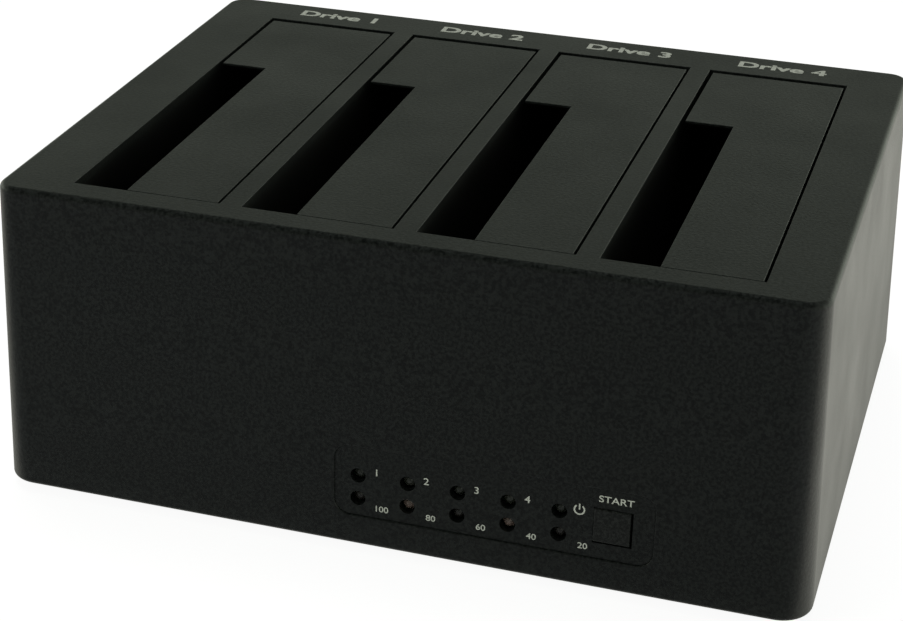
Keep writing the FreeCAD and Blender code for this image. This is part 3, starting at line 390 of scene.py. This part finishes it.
# Lamps: ten 3 mm light-emitting diodes of cast clear epoxy, which stand back in their holes.
# Unlit they look dark, with a small reflection on the dome and a faint tint of their chip.
def cast_epoxy(name, colour, milky_colour, roughness):
    """Clear cast resin with a slight haze. Every second lamp of a row may be of a milkier batch."""
    material, tree, surface = new_material(name)
    place = add_node(tree, "ShaderNodeTexCoord").outputs["Object"]
    haze = add_node(tree, "ShaderNodeTexNoise", {"Scale": 1000 / haze_mm, "Detail": 2.0}, {"Vector": place})
    gloss = add_node(tree, "ShaderNodeMapRange", {"To Min": roughness - 0.04, "To Max": roughness + 0.04},
                     {"Value": haze.outputs["Fac"]})
    along = add_node(tree, "ShaderNodeSeparateXYZ", None, {"Vector": place})
    turn = math.pi / lamp_pitch
    count = add_node(tree, "ShaderNodeMath", {"operation": "MULTIPLY_ADD", 1: turn, 2: -first_lamp * turn},
                     {0: along.outputs["X"]})
    wave = add_node(tree, "ShaderNodeMath", {"operation": "COSINE"}, {0: count.outputs[0]})
    batch = add_node(tree, "ShaderNodeMapRange", {"From Min": 1.0, "From Max": -1.0},
                     {"Value": wave.outputs[0]})
    tint = add_node(tree, "ShaderNodeValToRGB", None, {"Fac": batch.outputs["Result"]})
    tint.color_ramp.elements[0].color = linear(colour)
    tint.color_ramp.elements[1].color = linear(milky_colour)
    shader = add_node(tree, "ShaderNodeBsdfPrincipled", {"IOR": 1.54, "Transmission Weight": 0.5},
                      {"Base Color": tint.outputs["Color"], "Roughness": gloss.outputs["Result"]})
    tree.links.new(shader.outputs["BSDF"], surface)
    return material


haze_mm = 0.8
finish_with(cast_epoxy("epoxy_cast_clear_green_lamp", "#30332f", "#3a3c37", 0.2), "status_leds")
finish_with(cast_epoxy("epoxy_cast_clear_red_lamp", "#2f2d2c", "#7a6963", 0.24), "progress_leds")


# Boards: glass-epoxy laminate under a green solder mask, with copper tracks that show through
# as slightly lighter lines. They stand on the base plate's posts and the front wall's bosses.
def solder_mask(name, colour, track_colour):
    """Green lacquer over copper tracks 0.5 mm wide, drawn as the seams of a brick pattern."""
    material, tree, surface = new_material(name)
    place = add_node(tree, "ShaderNodeTexCoord").outputs["Object"]
    tracks = add_node(tree, "ShaderNodeTexBrick",
                      {"Scale": 1000 / track_field_mm, "Mortar Size": track_share, "Color1": linear(colour),
                       "Color2": linear(colour), "Mortar": linear(track_colour)}, {"Vector": place})
    weave = add_node(tree, "ShaderNodeTexNoise", {"Scale": 1000 / weave_mm, "Detail": 2.0}, {"Vector": place})
    bump = add_node(tree, "ShaderNodeBump", {"Strength": 1.0, "Distance": weave_depth},
                    {"Height": weave.outputs["Fac"]})
    shader = add_node(tree, "ShaderNodeBsdfPrincipled", {"Roughness": 0.28, "IOR": 1.5},
                      {"Base Color": tracks.outputs["Color"], "Normal": bump.outputs["Normal"]})
    tree.links.new(shader.outputs["BSDF"], surface)
    return material


track_field_mm = 8.0
track_share = 0.06
weave_mm = 0.7
weave_depth = 0.00001
finish_with(solder_mask("solder_mask_green", "#0f3d22", "#1d5a35"), "main_board", "led_board")
chip_epoxy = moulded_plastic("epoxy_black_moulded_chip", "#151515", "#1f1f1f", 0.2, 0.004, 0.6, 1.55)
finish_with(chip_epoxy, "controller_chips", "board_header")
can_aluminium = metal("aluminium_drawn_can", "#b6b9bb", "#d5d7d8", 0.3, 0.003, 0.3)
finish_with(can_aluminium, "capacitors", "crystal")
ferrite = moulded_plastic("ferrite_pressed_grey", "#2b2b2d", "#3b3b3d", 0.3, 0.008, 0.6, 1.8)
finish_with(ferrite, "inductors")
finish_with(contact_gold, "header_pins")


# Rear sockets: a black polyamide power jack with its nickel-plated centre pin, and a square
# data port, a folded shell of nickel-plated steel round a blue moulded tongue.
jack_nylon = moulded_plastic("polyamide_black_jack", "#121213", "#1a1a1b", 0.4, 0.004, 0.42, 1.53)
finish_with(jack_nylon, "dc_jack")
nickel = metal("nickel_plated_steel", "#a9a79f", "#cfcdc5", 0.3, 0.002, 0.22, (1.0, 0.2, 1.0))
finish_with(nickel, "dc_jack_pin", "usb_shell")
port_blue = moulded_plastic("polyester_blue_moulded", "#1d4c9c", "#2357ab", 0.4, 0.003, 0.4, 1.57)
finish_with(port_blue, "usb_insulator")


def add_strip(mesh, x, width, y0, y1, z, height):
    """Adds a flat contact with a bevelled outer end to a bmesh."""
    half = width / 2
    profile = ((y0, z), (y1, z), (y1, z + height * 0.3), (y1 - 2 * height, z + height), (y0, z + height))
    sides = [[mesh.verts.new((x + side * half, along, up)) for along, up in profile] for side in (-1, 1)]
    mesh.faces.new(sides[0])
    mesh.faces.new(sides[1][::-1])
    for number in range(len(profile)):
        after = (number + 1) % len(profile)
        mesh.faces.new((sides[0][after], sides[0][number], sides[1][number], sides[1][after]))


# Port contacts: stamped bronze strips, gold plated, that lie in the tongues' faces: two above
# and two below the large tongue, and five on the small one above it.
port_x = -0.01875
tongue_tip = 0.06103
strip_start = tongue_tip - 0.0078
strip_height = 0.00008
wide_aside, wide_width, wide_end = 0.00125, 0.0011, tongue_tip - 0.0009
narrow_pitch, narrow_width, narrow_end = 0.0009, 0.0005, tongue_tip - 0.0007
tongue_top, tongue_bottom, small_tongue_bottom = 0.0152, 0.0120, 0.0187
contact_mesh = bmesh.new()
for side in (-1, 1):
    for level, rise in ((tongue_top, strip_height), (tongue_bottom, -strip_height)):
        add_strip(contact_mesh, port_x + side * wide_aside, wide_width, strip_start, wide_end, level, rise)
for number in (-2, -1, 0, 1, 2):
    add_strip(contact_mesh, port_x + number * narrow_pitch, narrow_width, strip_start, narrow_end,
              small_tongue_bottom, strip_height)
port_contacts = add_piece("port_contacts", contact_mesh, contact_gold, "case")


# Power switch: a snap-in rocker of glossy black polyamide in its own housing, which tilts on
# two trunnions between on and off.
rocker_nylon = moulded_plastic("polyamide_black_rocker_polished", "#131313", "#191919", 0.8, 0.003, 0.24, 1.53)
finish_with(rocker_nylon, "power_switch_housing", "power_rocker")
rocker_marks = bmesh.new()
rocker_axis = (0.04725, 0.0567965, 0.0142)
rocker_tilt = math.radians(8)
rocker_half_height, crest_rise = 0.003, 0.0006
face_distance = 0.0053
bar_half_width, bar_half_height = 0.00016, 0.0009
zero_radius = 0.0008
rocker_turn = Matrix.Translation(rocker_axis) @ Matrix.Rotation(rocker_tilt, 4, "X")
crest_lean = math.atan2(crest_rise, rocker_half_height)
for side in (1, -1):
    rocker_face = (rocker_turn @ Matrix.Translation((0, face_distance, side * rocker_half_height / 2))
                   @ Matrix.Rotation(math.radians(180), 4, "Z")
                   @ Matrix.Rotation(math.radians(90) + side * crest_lean, 4, "X"))
    if side == 1:
        add_bar(rocker_marks, -bar_half_width, bar_half_width, -bar_half_height, bar_half_height, rocker_face)
    else:
        add_ring(rocker_marks, 0, 0, zero_radius, mark_line, rocker_face)
add_piece("print_rocker_marks", rocker_marks, ink, "rocker")


# Studio: a white paper floor under a soft light tent, which is open to a dark room in front and dim overhead.
# As glossy rays see it, the floor carries painted shade in front of the case and a painted shadow beside it. So
# the front wall mirrors little light, and the right wall mirrors the pale floor.
floor_mesh = bmesh.new()
floor_reach = 3.0
bmesh.ops.create_grid(floor_mesh, x_segments=8, y_segments=8, size=floor_reach)
floor_data = bpy.data.meshes.new("floor")
floor_mesh.to_mesh(floor_data)
floor_mesh.free()
floor = bpy.data.objects.new("floor", floor_data)
bpy.context.scene.collection.objects.link(floor)

fibre_mm = 2.0
white_level = 1.08
even_share = 0.86
paper, tree, surface = new_material("paper_white_sweep")
place = add_node(tree, "ShaderNodeNewGeometry").outputs["Position"]
fibre = add_node(tree, "ShaderNodeTexNoise", {"Scale": 1000 / fibre_mm, "Detail": 4.0}, {"Vector": place})
tint = add_node(tree, "ShaderNodeValToRGB", None, {"Fac": fibre.outputs["Fac"]})
tint.color_ramp.elements[0].color = linear("#dcdcda")
tint.color_ramp.elements[1].color = linear("#e6e6e4")
paper_shader = add_node(tree, "ShaderNodeBsdfDiffuse", None, {"Color": tint.outputs["Color"]})
split = add_node(tree, "ShaderNodeSeparateXYZ", None, {"Vector": place})
# Painted shade: as glossy rays see it, the floor in front of the case is dimmed to 0.235 to 0.335 of white,
# lighter towards the left.
painted_front_floor_level = add_node(tree, "ShaderNodeMapRange",
                       {"From Min": -0.16, "From Max": 0.06, "To Min": 0.335, "To Max": 0.235},
                       {"Value": split.outputs["X"]})
painted_front_shade = add_node(tree, "ShaderNodeMapRange",
                      {"From Min": -0.0665, "From Max": -0.0635, "To Max": 1.0},
                      {"Value": split.outputs["Y"], "To Min": painted_front_floor_level.outputs["Result"]})
rays = add_node(tree, "ShaderNodeLightPath")
mirrored = add_node(tree, "ShaderNodeMath", {"operation": "MAXIMUM"},
                    {0: rays.outputs["Is Glossy Ray"], 1: rays.outputs["Is Transmission Ray"]})
# Painted shadow: as glossy rays see it, the floor is darker next to the case's right side, rising from 0.75 to
# 1.26 times further away.
painted_contact_shadow = add_node(tree, "ShaderNodeMapRange",
                         {"From Min": 0.08, "From Max": 0.115, "To Min": 0.75, "To Max": 1.26},
                         {"Value": split.outputs["X"]})
painted_mirrored_floor = add_node(tree, "ShaderNodeMath", {"operation": "MULTIPLY"},
                          {0: painted_contact_shadow.outputs["Result"], 1: painted_front_shade.outputs["Result"]})
glow_level = add_node(tree, "ShaderNodeMath", {"operation": "MULTIPLY"},
                      {0: mirrored.outputs[0], 1: painted_mirrored_floor.outputs[0]})
seen_white = add_node(tree, "ShaderNodeMath", {"operation": "MULTIPLY", 1: white_level},
                      {0: rays.outputs["Is Camera Ray"]})
seen_level = add_node(tree, "ShaderNodeMath", {"operation": "MAXIMUM"},
                      {0: seen_white.outputs[0], 1: glow_level.outputs[0]})
beside = add_node(tree, "ShaderNodeMapRange", {"From Min": -0.0665, "From Max": -0.0635},
                  {"Value": split.outputs["Y"]})
floor_white = add_node(tree, "ShaderNodeMix",
                       {"data_type": "RGBA", 6: linear("#f9fffd"), 7: linear("#fffff3")},
                       {0: beside.outputs["Result"]})
glow_colour = add_node(tree, "ShaderNodeMix", {"data_type": "RGBA", 7: (1, 1, 1, 1)},
                       {0: rays.outputs["Is Camera Ray"], 6: floor_white.outputs[2]})
glow = add_node(tree, "ShaderNodeEmission", None,
                {"Color": glow_colour.outputs[2], "Strength": seen_level.outputs[0]})
# The camera sees mostly even white paper, and a faint share of the shadow on it.
seen_share = add_node(tree, "ShaderNodeMath", {"operation": "MULTIPLY", 1: even_share},
                      {0: rays.outputs["Is Camera Ray"]})
seen = add_node(tree, "ShaderNodeMath", {"operation": "MAXIMUM"},
                {0: seen_share.outputs[0], 1: mirrored.outputs[0]})
sweep = add_node(tree, "ShaderNodeMixShader", None,
                 {0: seen.outputs[0], 1: paper_shader.outputs[0], 2: glow.outputs[0]})
tree.links.new(sweep.outputs[0], surface)
floor_data.materials.append(paper)

tent_level = 0.45
world = bpy.data.worlds.new("light_tent")
world.use_nodes = True
bpy.context.scene.world = world
tree = world.node_tree
tree.nodes.clear()
direction = add_node(tree, "ShaderNodeTexCoord").outputs["Generated"]
split = add_node(tree, "ShaderNodeSeparateXYZ", None, {"Vector": direction})
right_side = add_node(tree, "ShaderNodeMapRange",
                      {"From Min": 0.0, "From Max": 0.5, "To Min": 0.24, "To Max": 1.0},
                      {"Value": split.outputs["X"]})
left_side = add_node(tree, "ShaderNodeMapRange",
                     {"From Min": -0.9, "From Max": -0.55, "To Min": 0.9, "To Max": 0.24},
                     {"Value": split.outputs["X"]})
tent_sides = add_node(tree, "ShaderNodeMath", {"operation": "MAXIMUM"},
                      {0: right_side.outputs["Result"], 1: left_side.outputs["Result"]})
tent_roof = add_node(tree, "ShaderNodeMapRange",
                     {"From Min": 0.22, "From Max": 0.62, "To Min": 1.95, "To Max": 0.33},
                     {"Value": split.outputs["Z"]})
tent_hole = add_node(tree, "ShaderNodeMapRange",
                     {"From Min": 0.38, "From Max": 0.46, "To Min": 1.0, "To Max": 0.84},
                     {"Value": split.outputs["Z"]})
tent_front = add_node(tree, "ShaderNodeMapRange",
                      {"From Min": -0.35, "From Max": 0.0, "To Min": 0.3, "To Max": 1.0},
                      {"Value": split.outputs["Y"]})
roofed_tent = add_node(tree, "ShaderNodeMath", {"operation": "MULTIPLY"},
                       {0: tent_sides.outputs[0], 1: tent_roof.outputs["Result"]})
open_tent = add_node(tree, "ShaderNodeMath", {"operation": "MULTIPLY"},
                     {0: tent_hole.outputs["Result"], 1: tent_front.outputs["Result"]})
mirrored_tent = add_node(tree, "ShaderNodeMath", {"operation": "MULTIPLY"},
                         {0: roofed_tent.outputs[0], 1: open_tent.outputs[0]})
rays = add_node(tree, "ShaderNodeLightPath")
mirrored = add_node(tree, "ShaderNodeMath", {"operation": "MAXIMUM"},
                    {0: rays.outputs["Is Glossy Ray"], 1: rays.outputs["Is Transmission Ray"]})
soft_light = add_node(tree, "ShaderNodeMix", {"data_type": "FLOAT", 2: tent_level},
                      {0: mirrored.outputs[0], 3: mirrored_tent.outputs[0]})
level = add_node(tree, "ShaderNodeMath", {"operation": "MAXIMUM"},
                 {0: rays.outputs["Is Camera Ray"], 1: soft_light.outputs[0]})
tent_colour = add_node(tree, "ShaderNodeMix", {"data_type": "RGBA", 6: linear("#f6ffec"), 7: (1, 1, 1, 1)},
                       {0: rays.outputs["Is Camera Ray"]})
background = add_node(tree, "ShaderNodeBackground", None,
                      {"Color": tent_colour.outputs[2], "Strength": level.outputs[0]})
add_node(tree, "ShaderNodeOutputWorld", None, {"Surface": background.outputs[0]})


def add_softbox(name, place, target, width, height, watts):
    """A large soft lamp that faces a point and leaves no bright patch in the gloss."""
    lamp = bpy.data.lights.new(name, "AREA")
    lamp.shape = "RECTANGLE"
    lamp.size = width
    lamp.size_y = height
    lamp.energy = watts
    holder = bpy.data.objects.new(name, lamp)
    holder.location = place
    holder.rotation_euler = (Vector(target) - Vector(place)).to_track_quat("-Z", "Y").to_euler()
    holder.visible_glossy = False
    bpy.context.scene.collection.objects.link(holder)


add_softbox("softbox_above", (-0.15, 0.25, 1.1), (0, 0, 0.03), 0.8, 0.6, 9.0)
add_softbox("softbox_front_left", (-0.9, -0.9, 0.7), (0, 0, 0.03), 0.5, 0.5, 4.0)
